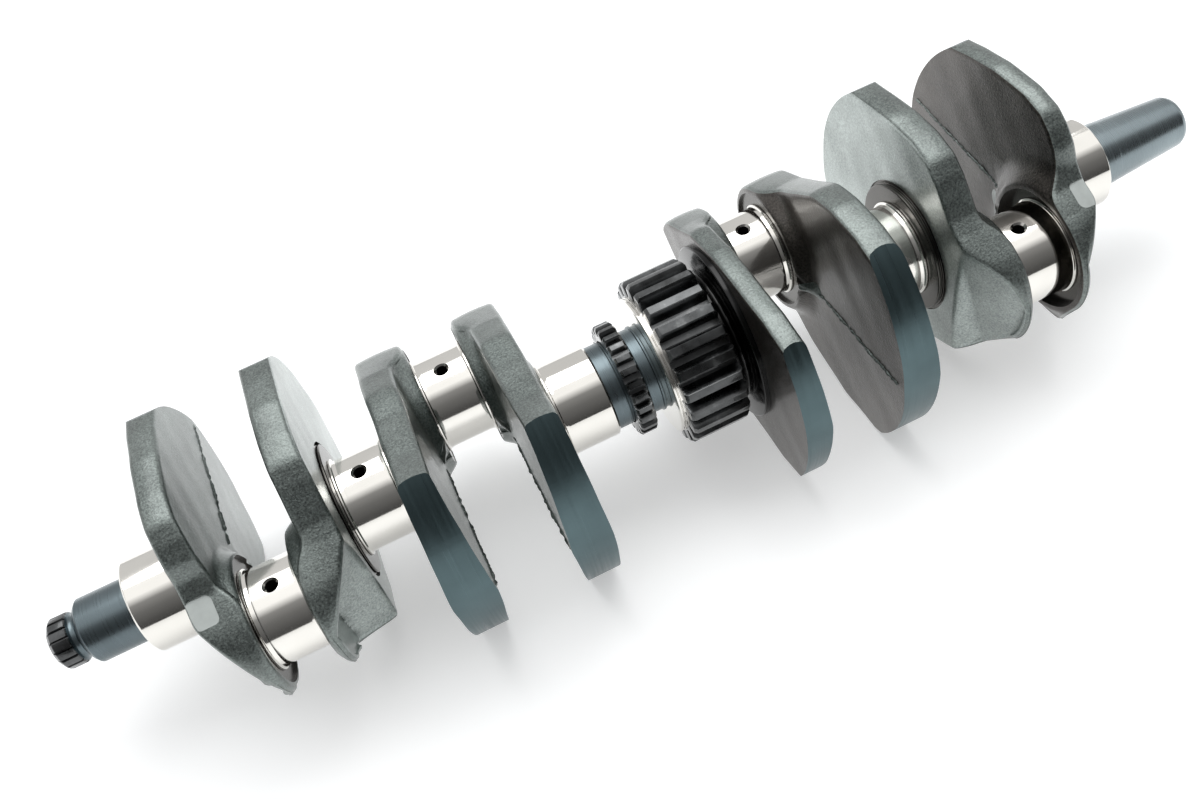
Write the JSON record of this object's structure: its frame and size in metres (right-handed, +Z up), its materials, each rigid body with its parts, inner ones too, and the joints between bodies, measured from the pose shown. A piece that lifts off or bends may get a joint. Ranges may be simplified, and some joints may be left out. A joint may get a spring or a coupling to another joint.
{
  "type": "crankshaft",
  "caption": "Flat-plane engine crankshaft: round journals and pins between forged, counterweighted webs, with a splined nose, a chain sprocket, a drive gear and a tapered end.",
  "frame": {"origin": "the middle of the bounding box: half way between the two ends of the shaft, and 3 mm above the axis of rotation", "axes": "+X along the axis of rotation from the splined end to the tapered end, the crankpins level with that axis with pins 1 and 4 at -Y, +Z up when the crankshaft lies on a bench on its counterweights"},
  "size_m": [0.4646, 0.123, 0.101],
  "materials": {
    "forged_steel": "oiled as-forged steel, fine grain, turned counterweight rims",
    "polished_journal": "ground and lapped to a mirror",
    "toothed_steel": "dark oiled hardened steel, bright edges",
    "ground_steel": "dark satin ground steel"
  },
  "bodies": {
    "root": {"web_1": "forged_steel", "web_2": "forged_steel", "web_3": "forged_steel", "web_4": "forged_steel", "web_5": "forged_steel", "web_6": "forged_steel", "web_7": "forged_steel", "web_8": "forged_steel", "main_journal_1": "polished_journal", "main_journal_2": "polished_journal", "main_journal_3": "polished_journal", "main_journal_4": "polished_journal", "main_journal_5": "polished_journal", "crankpin_1": "polished_journal", "crankpin_2": "polished_journal", "crankpin_3": "polished_journal", "crankpin_4": "polished_journal", "gear_ring": "polished_journal", "spline_end": "toothed_steel", "cam_chain_sprocket": "toothed_steel", "primary_drive_gear": "toothed_steel", "spline_neck": "ground_steel", "nose_shaft": "ground_steel", "middle_shaft": "ground_steel", "gear_neck": "ground_steel", "rotor_taper": "ground_steel", "thrust_collar_2": "ground_steel", "thrust_collar_4": "ground_steel"}
  },
  "joints": []
}
